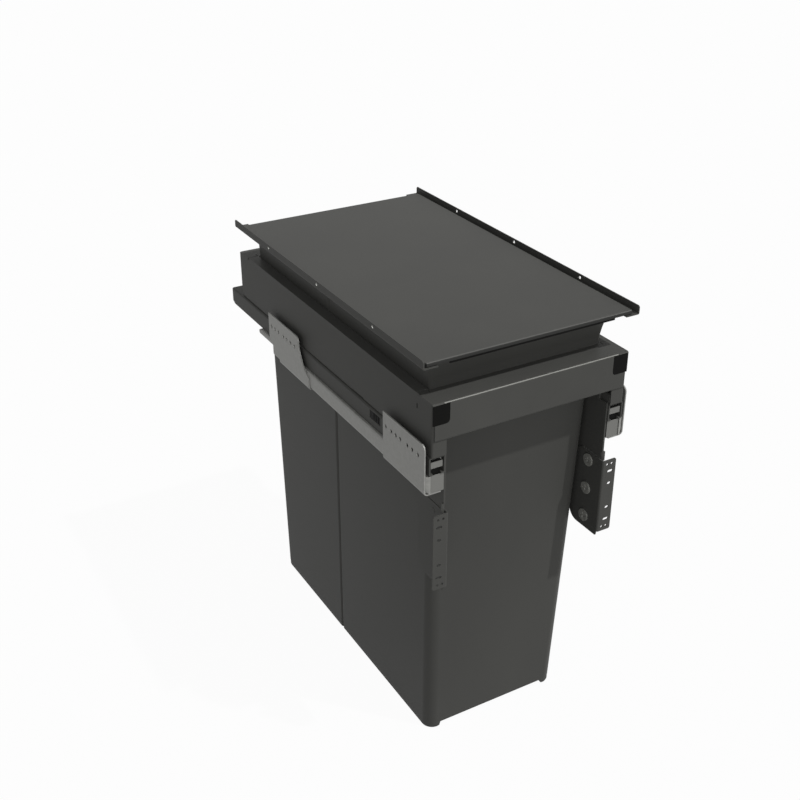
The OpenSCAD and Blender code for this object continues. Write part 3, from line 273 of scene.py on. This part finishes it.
@dataclass(frozen=True)
class Finish:
    """One finish of the unit: its colours, gloss and grain.

    Coats and plastics go from base towards worn by spread, metals all the way. The names in
    capitals are texture scales, in features per metre.
    """

    PEEL = 900
    COAT_CLOUD = 14
    SPECK = 2600
    ZINC_PATCH = 260
    ZINC_CLOUD = 30
    ROLLED = 1500
    SPARK = 1500
    FLOW = 9
    SCUFF = 160
    GRIT = 2200
    STAIN = 120

    name: str
    grain: Grain
    base: Colour
    worn: Colour
    rough: float
    metal: float = 0.0
    spread: float = 0.3
    shine: float = 0.5

    def make(self) -> bpy.types.Material:
        """Builds the material that goes with the grain."""
        return {
            Grain.POWDER: self._powder,
            Grain.SPANGLE: self._spangle,
            Grain.MOULDED: self._moulded,
            Grain.TURNED: self._turned,
        }[self.grain]()

    def _powder(self) -> bpy.types.Material:
        """Satin powder coat: fine orange peel, faint clouds and a few pale specks."""
        shop = Shop(bpy.data.materials.new(self.name))
        spot = shop.place()
        peel = shop.noise(spot, self.PEEL, 2.0, 0.6)
        cloud = shop.noise(spot, self.COAT_CLOUD, 3.0, 0.55)
        speck = shop.noise(spot, self.SPECK, 1.0).above(0.68, 0.74)
        colour = shop.mix(cloud.above(0.3, 0.7) * self.spread, self.base, self.worn)
        colour = shop.mix(speck * (0.5 * self.spread), colour, self.worn)
        return shop.finish(
            Base_Color=colour,
            Roughness=(cloud - 0.5) * 0.08 + (peel - 0.5) * 0.1 + self.rough,
            Metallic=self.metal,
            Specular_IOR_Level=self.shine,
            Normal=shop.bump(peel, 0.04 * MM, 0.5),
        )

    def _spangle(self) -> bpy.types.Material:
        """Galvanised sheet: soft zinc patches with rolling marks along Y."""
        shop = Shop(bpy.data.materials.new(self.name))
        spot = shop.place()
        patch = shop.cells(spot, self.ZINC_PATCH)
        cloud = shop.noise(spot, self.ZINC_CLOUD, 3.0, 0.6)
        rolled = shop.noise(shop.place((1.0, 0.04, 1.0)), self.ROLLED, 2.0, 0.6)
        tone = patch * 0.45 + cloud * 0.35 + rolled * 0.2
        return shop.finish(
            Base_Color=shop.mix(tone.above(0.25, 0.8), self.base, self.worn),
            Roughness=(tone - 0.5) * 0.22 + self.rough,
            Metallic=self.metal,
            Specular_IOR_Level=self.shine,
            Normal=shop.bump(rolled * 0.6 + patch * 0.4, 0.03 * MM, 0.5),
        )

    def _moulded(self) -> bpy.types.Material:
        """Moulded plastic: spark-eroded grain with wide, faint flow clouds."""
        shop = Shop(bpy.data.materials.new(self.name))
        spot = shop.place()
        grain = shop.noise(spot, self.SPARK, 3.0, 0.7)
        flow = shop.noise(shop.place((1.0, 1.0, 0.35)), self.FLOW, 3.0, 0.5)
        scuff = shop.noise(shop.place((1.0, 1.0, 0.12)), self.SCUFF, 2.0, 0.7).above(0.62, 0.78)
        colour = shop.mix(flow.above(0.3, 0.7) * self.spread, self.base, self.worn)
        colour = shop.mix(scuff * (0.35 * self.spread), colour, self.worn)
        return shop.finish(
            Base_Color=colour,
            Roughness=(flow - 0.5) * 0.06 + (grain - 0.5) * 0.16 + self.rough,
            Metallic=self.metal,
            Specular_IOR_Level=self.shine,
            Normal=shop.bump(grain, 0.05 * MM, 0.6),
        )

    def _turned(self) -> bpy.types.Material:
        """Small turned, cast or stamped metal: fine grit and slight staining."""
        shop = Shop(bpy.data.materials.new(self.name))
        spot = shop.place()
        grit = shop.noise(spot, self.GRIT, 2.0, 0.6)
        stain = shop.noise(spot, self.STAIN, 3.0, 0.6)
        return shop.finish(
            Base_Color=shop.mix(stain.above(0.35, 0.65), self.base, self.worn),
            Roughness=(stain - 0.5) * 0.2 + (grit - 0.5) * 0.12 + self.rough,
            Metallic=self.metal,
            Specular_IOR_Level=self.shine,
            Normal=shop.bump(grit, 0.03 * MM, 0.5),
        )


POWDER_COAT = Finish(
    "anthracite_powder_coat", Grain.POWDER, linear("424240"), linear("4d4d4a"), 0.5, shine=0.06
)
# Painted highlight: a pale coat that stands in for the key light's glint on the bar's top front bend.
BAR_BEND_PAINTED_HIGHLIGHT = Finish("bar_bend_painted_highlight", Grain.POWDER, linear("7c7c78"), linear("8c8c88"), 0.45, shine=0.1)
# Painted shade: a darker coat for the lid's front fold, which faces away from the light.
LID_FOLD_PAINTED_SHADE = Finish("lid_fold_painted_shade", Grain.POWDER, linear("2e2e2d"), linear("373735"), 0.5, shine=0.06)
# Painted highlight: a paler coat for the lid's front bend, standing in for its glint.
LID_BEND_PAINTED_HIGHLIGHT = Finish("lid_bend_painted_highlight", Grain.POWDER, linear("4f4f4d"), linear("5a5a57"), 0.45, shine=0.1)
# Painted highlight: pale metal on the walls of the rails' screw holes, standing in for their bright glints.
HOLE_RIM_PAINTED_HIGHLIGHT = Finish("hole_rim_painted_highlight", Grain.TURNED, linear("8e8e8a"), linear("9e9e9a"), 0.4, metal=0.2)
GALVANISED = Finish(
    "galvanised_sheet", Grain.SPANGLE, linear("82827f"), linear("8d8d8a"), 0.5, metal=0.3, shine=0.15
)
CAST_ZINC = Finish("cast_zinc", Grain.TURNED, linear("82827f"), linear("90908c"), 0.45, metal=0.3, shine=0.15)
PALE_SCREW = Finish("zinc_plated_screw", Grain.TURNED, linear("6e6e6a"), linear("80807b"), 0.42, metal=0.2)
BIN_PLASTIC = Finish("dark_bin_plastic", Grain.MOULDED, linear("3d3d3b"), linear("474744"), 0.5, shine=0.08)
# Black plastic of the catches and inserts, also used as painted shade for the nose recesses and the strip
# under the lid.
BLACK_PLASTIC_AND_PAINTED_SHADE = Finish(
    "black_plastic", Grain.MOULDED, linear("0c0c0b"), linear("121211"), 0.5, spread=0.5, shine=0.05
)
GREY_PLASTIC = Finish(
    "grey_plastic", Grain.MOULDED, linear("666663"), linear("747470"), 0.5, spread=0.5, shine=0.3
)
WHITE_PLASTIC = Finish("white_plastic", Grain.MOULDED, linear("c8c8c3"), linear("d6d6d1"), 0.45, spread=0.5)


class Wardrobe:
    """Makes each finish once and hands it out."""

    def __init__(self) -> None:
        """Starts with no material made."""
        self.made: dict[str, bpy.types.Material] = {}

    def get(self, finish: Finish) -> bpy.types.Material:
        """Returns the material of a finish, made on first use."""
        if finish.name not in self.made:
            self.made[finish.name] = finish.make()
        return self.made[finish.name]


@dataclass
class SubAssembly:
    """A group of pieces; nodes gives each node's finish, edge how far its edges are eased."""

    frame: dict
    wardrobe: Wardrobe
    edge: float = 0.3 * MM
    nodes: dict[str, Finish] = field(default_factory=dict)

    def build(self) -> None:
        """Dresses every node of the group with eased edges and its finish."""
        for name, finish in self.nodes.items():
            self.ease(name, finish)
            log.info("%s: %s in %s", type(self).__name__, name, finish.name)

    def ease(self, name: str, finish: Finish) -> None:
        """Stands a copy with rounded edges in for a CAD node.

        Args:
            name: the CAD node.
            finish: what the copy is made of.
        """
        source = self.frame["nodes"][name]
        bm = bmesh.new()
        bm.from_mesh(source.data)
        bmesh.ops.remove_doubles(bm, verts=bm.verts, dist=WELD)
        bmesh.ops.dissolve_limit(
            bm, angle_limit=FLAT_ANGLE, verts=bm.verts, edges=bm.edges, use_dissolve_boundaries=False
        )
        self.reshape(name, bm)
        sharp = [e for e in bm.edges if len(e.link_faces) == 2 and e.calc_face_angle(0.0) > EDGE_ANGLE]
        round_off(bm, sharp, self.edge, 2)
        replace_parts(self.piece(f"{name}_eased", bm, finish, source["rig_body"]), name)

    def reshape(self, name: str, bm: bmesh.types.BMesh) -> None:
        """Lets a group refine the form of a node before its edges are eased."""

    @staticmethod
    def slice(bm: bmesh.types.BMesh, place: Sequence[float], normal: Sequence[float]) -> None:
        """Adds the edges where a plane crosses a shape.

        Args:
            bm: the shape.
            place: a point of the plane.
            normal: the plane's normal.
        """
        geom = [*bm.verts, *bm.edges, *bm.faces]
        bmesh.ops.bisect_plane(bm, geom=geom, dist=WELD, plane_co=place, plane_no=normal)

    def repaint(self, name: str, slot_of: Callable, *finishes: Finish) -> None:
        """Gives some faces of a dressed piece another finish.

        Args:
            name: the CAD node that the piece stands for.
            slot_of: from a face to its slot, 0 for the finish it has.
            finishes: the finishes of the slots from 1 on.
        """
        mesh = bpy.data.objects[f"{name}_eased"].data
        for finish in finishes:
            mesh.materials.append(self.wardrobe.get(finish))
        for polygon in mesh.polygons:
            polygon.material_index = int(slot_of(polygon))

    def box(self, name: str, low: Sequence[float], high: Sequence[float], finish: Finish, body: str) -> None:
        """Adds a plain eased block.

        Args:
            name: name of the new piece.
            low: its lowest corner.
            high: its highest corner.
            finish: its finish.
            body: the CAD body that it rides on.
        """
        bm = bmesh.new()
        bmesh.ops.create_cube(bm, size=1.0)
        middle = (Vector(low) + Vector(high)) / 2
        size = Vector(high) - Vector(low)
        bmesh.ops.scale(bm, vec=size, verts=bm.verts)
        bmesh.ops.translate(bm, vec=middle, verts=bm.verts)
        round_off(bm, bm.edges[:], self.edge, 2)
        self.piece(name, bm, finish, body)
        log.info("%s: %s in %s", type(self).__name__, name, finish.name)

    def piece(self, name: str, bm: bmesh.types.BMesh, finish: Finish, body: str) -> bpy.types.Object:
        """Turns a bmesh into a dressed piece on a body.

        Args:
            name: name of the new object.
            bm: its shape in place, freed here.
            finish: its finish.
            body: the CAD body that it rides on.

        Returns:
            The new object.
        """
        mesh = bpy.data.meshes.new(name)
        bm.to_mesh(mesh)
        bm.free()
        mesh.materials.append(self.wardrobe.get(finish))
        obj = bpy.data.objects.new(name, mesh)
        bpy.context.scene.collection.objects.link(obj)
        for polygon in mesh.polygons:
            polygon.use_smooth = True
        mesh.set_sharp_from_angle(angle=SHADE_ANGLE)
        normals = obj.modifiers.new("normals", "WEIGHTED_NORMAL")
        normals.mode = "FACE_AREA"
        normals.keep_sharp = True
        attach(obj, body)
        return obj


@dataclass
class Lid(SubAssembly):
    """Lid plate on its two rails, fixed to the cabinet."""

    fold_in: float = 115.0 * MM
    fold_out: float = 4.6 * MM
    hole_y: float = 102.5 * MM
    hole_z: float = 45.6 * MM
    hole_reach: float = 2.4 * MM
    hole_turn: float = 0.95
    pitch: float = 128.0 * MM
    bend_end: float = 5.0 * MM
    fold_turn: float = -0.15
    bend_turn: float = 0.6
    strip_half: float = 101.0 * MM
    strip_front: float = 3.5 * MM
    strip_t: float = 2.0 * MM
    strip_low: float = 39.4 * MM
    strip_high: float = 42.2 * MM

    def __post_init__(self) -> None:
        """Names the lid's nodes."""
        self.nodes = {n: POWDER_COAT for n in ("lid_plate", *both("lid_rail"))}

    def reshape(self, name: str, bm: bmesh.types.BMesh) -> None:
        """Brings the plate's left fold up to the left rail, as in the photograph."""
        if name == "lid_plate":
            for vert in bm.verts:
                if vert.co.x < -self.fold_in:
                    vert.co.x -= self.fold_out

    def build(self) -> None:
        """Paints highlights on the hole walls and on the front bend, paints shade on the front fold, and puts
        a black strip of painted shadow under it.
        """
        super().build()
        # Painted shade on the front fold and a painted highlight on its bend.
        self.repaint("lid_plate", self._fold_painted_light_slot, LID_FOLD_PAINTED_SHADE, LID_BEND_PAINTED_HIGHLIGHT)
        for name in both("lid_rail"):
            # Painted highlight on the walls of the screw holes.
            self.repaint(name, self._in_hole, HOLE_RIM_PAINTED_HIGHLIGHT)
        # Painted shadow: a thin black strip under the lid's front fold stands in for the dark gap beneath the
        # lid.
        body = self.frame["nodes"]["lid_plate"]["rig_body"]
        low = (-self.strip_half, FRONT + self.strip_front, TOP + self.strip_low)
        high = (self.strip_half, FRONT + self.strip_front + self.strip_t, TOP + self.strip_high)
        self.box("lid_front_painted_shadow_strip", low, high, BLACK_PLASTIC_AND_PAINTED_SHADE, body)

    def _fold_painted_light_slot(self, polygon: bpy.types.MeshPolygon) -> int:
        """Material slot of a face of the plate: 2 on the front bend, for its painted highlight, 1 on the
        front fold, for its painted shade.
        """
        if polygon.center.y >= FRONT + self.bend_end or polygon.normal.y >= self.fold_turn:
            return 0
        return 2 if polygon.normal.z > self.bend_turn else 1

    def _in_hole(self, polygon: bpy.types.MeshPolygon) -> bool:
        """Whether a face of a rail is the wall of a screw hole; these faces get a painted highlight."""
        rise = polygon.center.z - TOP - self.hole_z
        along = polygon.center.y - FRONT - self.hole_y
        nearest = along - self.pitch * round(along / self.pitch)
        return math.hypot(rise, nearest) < self.hole_reach and abs(polygon.normal.x) < self.hole_turn


@dataclass
class CabinetRunners(SubAssembly):
    """Galvanised rails and fixing plates on the cabinet sides."""

    edge: float = 0.25 * MM
    margin: float = 3.0 * MM
    near: float = 0.02 * MM
    facet: float = 1.3 * MM
    sink: float = 0.7 * MM

    def __post_init__(self) -> None:
        """Names the nodes that stay on the cabinet."""
        sheet = (*both("cabinet_rail"), *both("front_fixing_plate"), *both("rear_fixing_plate"))
        self.nodes = {n: GALVANISED for n in sheet}
        self.nodes |= {n: CAST_ZINC for n in (*both("rail_end_block"), "fixing_plate_rivets")}

    def reshape(self, name: str, bm: bmesh.types.BMesh) -> None:
        """Sinks the rims of the screw holes on the outside of the fixing plates."""
        if "fixing_plate" not in name or name == "fixing_plate_rivets":
            return
        outside = max(abs(v.co.x) for v in bm.verts)
        low = Vector(min(v.co[i] for v in bm.verts) + self.margin for i in range(3))
        high = Vector(max(v.co[i] for v in bm.verts) - self.margin for i in range(3))

        def on_face(co: Vector) -> bool:
            """Whether a point lies on the outside, away from the outline."""
            level = abs(abs(co.x) - outside) < self.near
            return level and low.y < co.y < high.y and low.z < co.z < high.z

        short = [e for e in bm.edges if e.calc_length() < self.facet and all(on_face(v.co) for v in e.verts)]
        round_off(bm, [e for e in short if e.calc_face_angle(0.0) > EDGE_ANGLE], self.sink, 1, clamp=False)


@dataclass
class InnerRunners(SubAssembly):
    """Middle slides, their noses and the ball cages."""

    edge: float = 0.25 * MM
    cap_back: float = -0.2492

    def __post_init__(self) -> None:
        """Names the nodes inside the runners."""
        self.nodes = {n: GALVANISED for n in both("middle_slide")}
        self.nodes |= {n: GREY_PLASTIC for n in both("slide_nose")}
        self.nodes |= {n: WHITE_PLASTIC for n in (*both("upper_ball_cage"), *both("lower_ball_cage"))}

    def build(self) -> None:
        """Dresses the nodes; behind their raised caps the noses are painted black, as painted shade of the
        recess.
        """
        super().build()
        for name in both("slide_nose"):
            # Painted shade: the noses' faces behind the caps get the black plastic.
            self.repaint(name, lambda polygon: polygon.center.y > self.cap_back, BLACK_PLASTIC_AND_PAINTED_SHADE)


@dataclass
class DrawerFrame(SubAssembly):
    """Folded sheet frame with its cover rails and black inserts."""

    sheet: float = 1.5 * MM
    flange: float = 27.0 * MM
    flange_deep: float = 32.6 * MM
    slit: float = 108.6 * MM
    slit_w: float = 1.0 * MM
    wall: float = 119.7 * MM
    outer: float = 121.27 * MM
    proud: float = 0.02 * MM
    thin: float = 0.05 * MM
    fold: float = 2.0 * MM
    side_edge: float = 107.5 * MM
    bend: float = 1.08 * MM
    bend_turn: float = 0.1
    bend_half: float = 97.5 * MM
    rear_edge: float = 449.4 * MM

    def __post_init__(self) -> None:
        """Names the nodes of the drawer frame."""
        sheet = (*both("frame_side"), "front_bar", "rear_wall", *both("drawer_slide"))
        self.nodes = {n: POWDER_COAT for n in sheet}
        self.nodes |= {n: BLACK_PLASTIC_AND_PAINTED_SHADE for n in (*both("slide_catch"), *both("corner_insert"))}

    def reshape(self, name: str, bm: bmesh.types.BMesh) -> None:
        """Deepens the front flange up to the bin, with a relief slit at each end."""
        if name != "front_bar":
            return
        thin = self.thin
        slit_in = self.slit - self.slit_w / 2
        slit_out = self.slit + self.slit_w / 2
        for x in (slit_in - thin, slit_in, slit_out, slit_out + thin, self.wall - thin, self.wall):
            for side in (-1, 1):
                self.slice(bm, (side * x, 0, 0), (1, 0, 0))
        for vert in bm.verts:
            x = abs(vert.co.x)
            edge = vert.co.z > TOP - self.fold and vert.co.y > FRONT + self.flange - thin
            if edge and (x < slit_in - thin / 2 or slit_out + thin / 2 < x < self.wall - thin / 2):
                vert.co.y = FRONT + self.flange_deep

    def build(self) -> None:
        """Adds the flanges along the top of the sides, and paints a highlight on the bend of the bar."""
        super().build()
        # Painted highlight on the bar's top front bend, between the inserts.
        self.repaint("front_bar", self._in_bend_highlight, BAR_BEND_PAINTED_HIGHLIGHT)
        body = self.frame["nodes"]["front_bar"]["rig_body"]
        for side, word in ((-1, "left"), (1, "right")):
            ends = sorted((side * self.side_edge, side * self.outer))
            low = (ends[0], FRONT + self.flange_deep + self.slit_w / 2, TOP - self.sheet)
            high = (ends[1], FRONT + self.rear_edge, TOP + self.proud)
            self.box(f"side_top_flange_{word}", low, high, POWDER_COAT, body)

    def _in_bend_highlight(self, polygon: bpy.types.MeshPolygon) -> bool:
        """Whether a face is on the bend along the top of the bar, between the inserts; these faces get a
        painted highlight.
        """
        centre = polygon.center
        near = centre.y < FRONT + self.bend and centre.z > TOP - self.bend and abs(centre.x) < self.bend_half
        return near and min(-polygon.normal.y, polygon.normal.z) > self.bend_turn


@dataclass
class FrontBrackets(SubAssembly):
    """Arms and angles that carry the drawer front, with their screws."""

    edge: float = 0.25 * MM
    plate_in: float = 101.0 * MM

    def __post_init__(self) -> None:
        """Names the nodes of the brackets."""
        self.nodes = {n: POWDER_COAT for n in (*both("bracket_arm"), *both("front_bracket"), "arm_rivets")}
        self.nodes |= {"bracket_screws": PALE_SCREW}

    def build(self) -> None:
        """Dresses the nodes; the screw ends beyond the plates are coated like them."""
        super().build()
        self.repaint("bracket_screws", lambda polygon: abs(polygon.center.x) > self.plate_in, POWDER_COAT)


@dataclass
class Bins(SubAssembly):
    """The two bins that hang in the frame one behind the other.

    The collar of each gets sharper outer corners than its body, and the front one a
    curved flare. Heights are above the top of the frame, and lean is how far the face of
    the front collar stands behind the line of the body: at the frame top, and then per
    metre below it and above it, with the square of the height.
    """

    edge: float = 0.6 * MM
    half: float = 107.0 * MM
    front: float = 29.5 * MM
    back: float = 446.5 * MM
    radius: float = 14.0 * MM
    sharper: float = 10.0 * MM
    wall: float = 2.2 * MM
    foot: float = -3.0 * MM
    middle: float = 20.0 * MM
    rim: float = 37.5 * MM
    flare_middle: float = 1.2 * MM
    flare_rim: float = 3.4 * MM
    flare_steps: int = 6
    lean_top: float = 3.3 * MM
    lean_below: float = 0.77
    lean_above: float = -0.199
    lean_square: float = -1.24
    near: float = 0.1 * MM
    seam: float = 0.95 * MM
    seam_y: float = -2.78 * MM
    seam_lean: float = 0.045
    seam_fade: float = 8.0 * MM

    def __post_init__(self) -> None:
        """Names the bins."""
        self.nodes = {n: BIN_PLASTIC for n in ("front_bin", "rear_bin")}

    def _flare(self, z: float) -> float:
        """How far the solid's collar leans out at a height."""
        if z < self.middle:
            return self.flare_middle * (z - self.foot) / (self.middle - self.foot)
        rise = (z - self.middle) / (self.rim - self.middle)
        return self.flare_middle + (self.flare_rim - self.flare_middle) * rise

    def _lean(self, z: float) -> float:
        """Where the photographed collar's front stands, behind the line of the body."""
        if z < 0:
            return self.lean_top + self.lean_below * z
        return self.lean_top + self.lean_above * z + self.lean_square * z * z

    def reshape(self, name: str, bm: bmesh.types.BMesh) -> None:
        """Draws in the corners of the collar, curves its front and closes the seam."""
        if name == "rear_bin":
            for vert in bm.verts:
                wall = self.seam_y + self.seam_lean * (TOP - vert.co.z)
                vert.co.y -= self.seam * min(max(1 - (vert.co.y - wall) / self.seam_fade, 0.0), 1.0)
        for k in range(1, self.flare_steps):
            self.slice(bm, (0, 0, TOP + self.rim * k / self.flare_steps), (0, 0, 1))
        for vert in bm.verts:
            z = vert.co.z - TOP
            if z > self.foot - self.near / 2:
                self._shift(vert, z, name == "front_bin")

    def _shift(self, vert: bmesh.types.BMVert, z: float, at_front: bool) -> None:
        """Moves one vertex of a collar if it lies on an outer corner.

        Args:
            vert: the vertex.
            z: its height above the frame top.
            at_front: whether the outer corners are the front ones.
        """
        near = self.near
        lean = self._flare(z)
        u = abs(vert.co.x) - (self.half + lean - self.radius)
        if at_front:
            w = FRONT + self.front - lean + self.radius - vert.co.y
        else:
            w = vert.co.y - (FRONT + self.back + lean - self.radius)
        reach = math.hypot(u, w)
        if u < -near or w < -near:
            return
        if z < self.foot + near and abs(reach - self.radius) > near:
            return
        if self.foot + near < z < 0 and abs(reach - self.radius + self.wall) > near:
            return
        scale = (reach - self.sharper) / reach
        side = math.copysign(1.0, vert.co.x)
        way = -1.0 if at_front else 1.0
        vert.co.x += side * (u * scale + self.sharper - u)
        vert.co.y += way * (w * scale + self.sharper - w)
        if at_front:
            vert.co.y += self._lean(z) + lean


@dataclass
class Studio:
    """White studio: floor, lamps, world and the camera of the photograph.

    The camera stands at eye. Each lamp has its strength and the direction that it stands
    in; floor_white is the share of plain white in the floor that the camera sees. Angles
    are in degrees.
    """

    eye: tuple[float, float, float] = (-0.6426, -1.09825, 1.0193)
    tilt: float = 61.654
    turn: float = -29.838
    lens: float = 52.47
    key: float = 2.32
    key_way: tuple[float, float, float] = (0.337, -0.432, 0.837)
    front: float = 0.96
    front_way: tuple[float, float, float] = (0.12, -0.93, 0.35)
    side: float = 0.2
    side_way: tuple[float, float, float] = (-0.92, -0.25, 0.3)
    fill: float = 0.38
    floor_grey: float = 0.5
    floor_white: float = 0.96
    floor_half: float = 6.0
    lamp_angle: float = 1.5
    lamp_way: float = 2.0

    def build(self) -> None:
        """Sets up the stage in order."""
        self._world()
        self._floor()
        self._lamps()
        self._camera()

    def _camera(self) -> None:
        """Camera at the photograph's place and angle."""
        data = bpy.data.cameras.new("camera")
        data.sensor_width = 36.0
        data.lens = self.lens
        data.clip_start = 0.01
        data.clip_end = 50.0
        camera = bpy.data.objects.new("camera", data)
        camera.location = self.eye
        camera.rotation_euler = (math.radians(self.tilt), 0.0, math.radians(self.turn))
        bpy.context.scene.collection.objects.link(camera)
        bpy.context.scene.camera = camera

    def _world(self) -> None:
        """Even pale light; plain white where the camera looks past the object."""
        world = bpy.data.worlds.new("studio")
        bpy.context.scene.world = world
        shop = Shop(world)
        fill = shop.add("ShaderNodeBackground", {}, {"Color": WHITE, "Strength": self.fill})
        white = shop.add("ShaderNodeBackground", {}, {"Color": WHITE, "Strength": 1.0})
        mix = shop.add("ShaderNodeMixShader", {}, {0: shop.seen(), 1: fill, 2: white})
        shop.add_output(mix, "ShaderNodeOutputWorld")

    def _floor(self) -> None:
        """Pale floor that keeps the object's shadow and meets the white behind."""
        bm = bmesh.new()
        bmesh.ops.create_grid(bm, x_segments=2, y_segments=2, size=self.floor_half)
        mesh = bpy.data.meshes.new("studio_floor")
        bm.to_mesh(mesh)
        bm.free()
        floor = bpy.data.objects.new("studio_floor", mesh)
        bpy.context.scene.collection.objects.link(floor)
        shop = Shop(bpy.data.materials.new("studio_floor"))
        matt = shop.add("ShaderNodeBsdfDiffuse", {}, {"Color": (self.floor_grey,) * 3})
        glow = shop.add("ShaderNodeEmission", {}, {"Color": WHITE, "Strength": 1.0})
        share = shop.seen() * self.floor_white
        shop.add_output(shop.add("ShaderNodeMixShader", {}, {0: share, 1: matt, 2: glow}))
        mesh.materials.append(shop.owner)

    def _lamps(self) -> None:
        """Sharp key light from above, and two weak ones that reach the gaps."""
        for name, energy, way, shadow in (
            ("key", self.key, self.key_way, True),
            ("front", self.front, self.front_way, False),
            ("side", self.side, self.side_way, False),
        ):
            data = bpy.data.lights.new(name, "SUN")
            data.energy = energy
            data.angle = math.radians(self.lamp_angle)
            data.use_shadow = shadow
            lamp = bpy.data.objects.new(name, data)
            lamp.location = Vector(way) * self.lamp_way
            lamp.rotation_euler = Vector(way).to_track_quat("Z", "Y").to_euler()
            bpy.context.scene.collection.objects.link(lamp)


def main() -> None:
    """Builds the unit piece by piece, then the studio."""
    logging.basicConfig(level=logging.INFO, format="%(message)s")
    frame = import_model()
    wardrobe = Wardrobe()
    for part in (Lid, CabinetRunners, InnerRunners, DrawerFrame, FrontBrackets, Bins):
        part(frame, wardrobe).build()
    bpy.context.scene.view_settings.view_transform = "Standard"
    Studio().build()


if __name__ == "__main__":
    main()
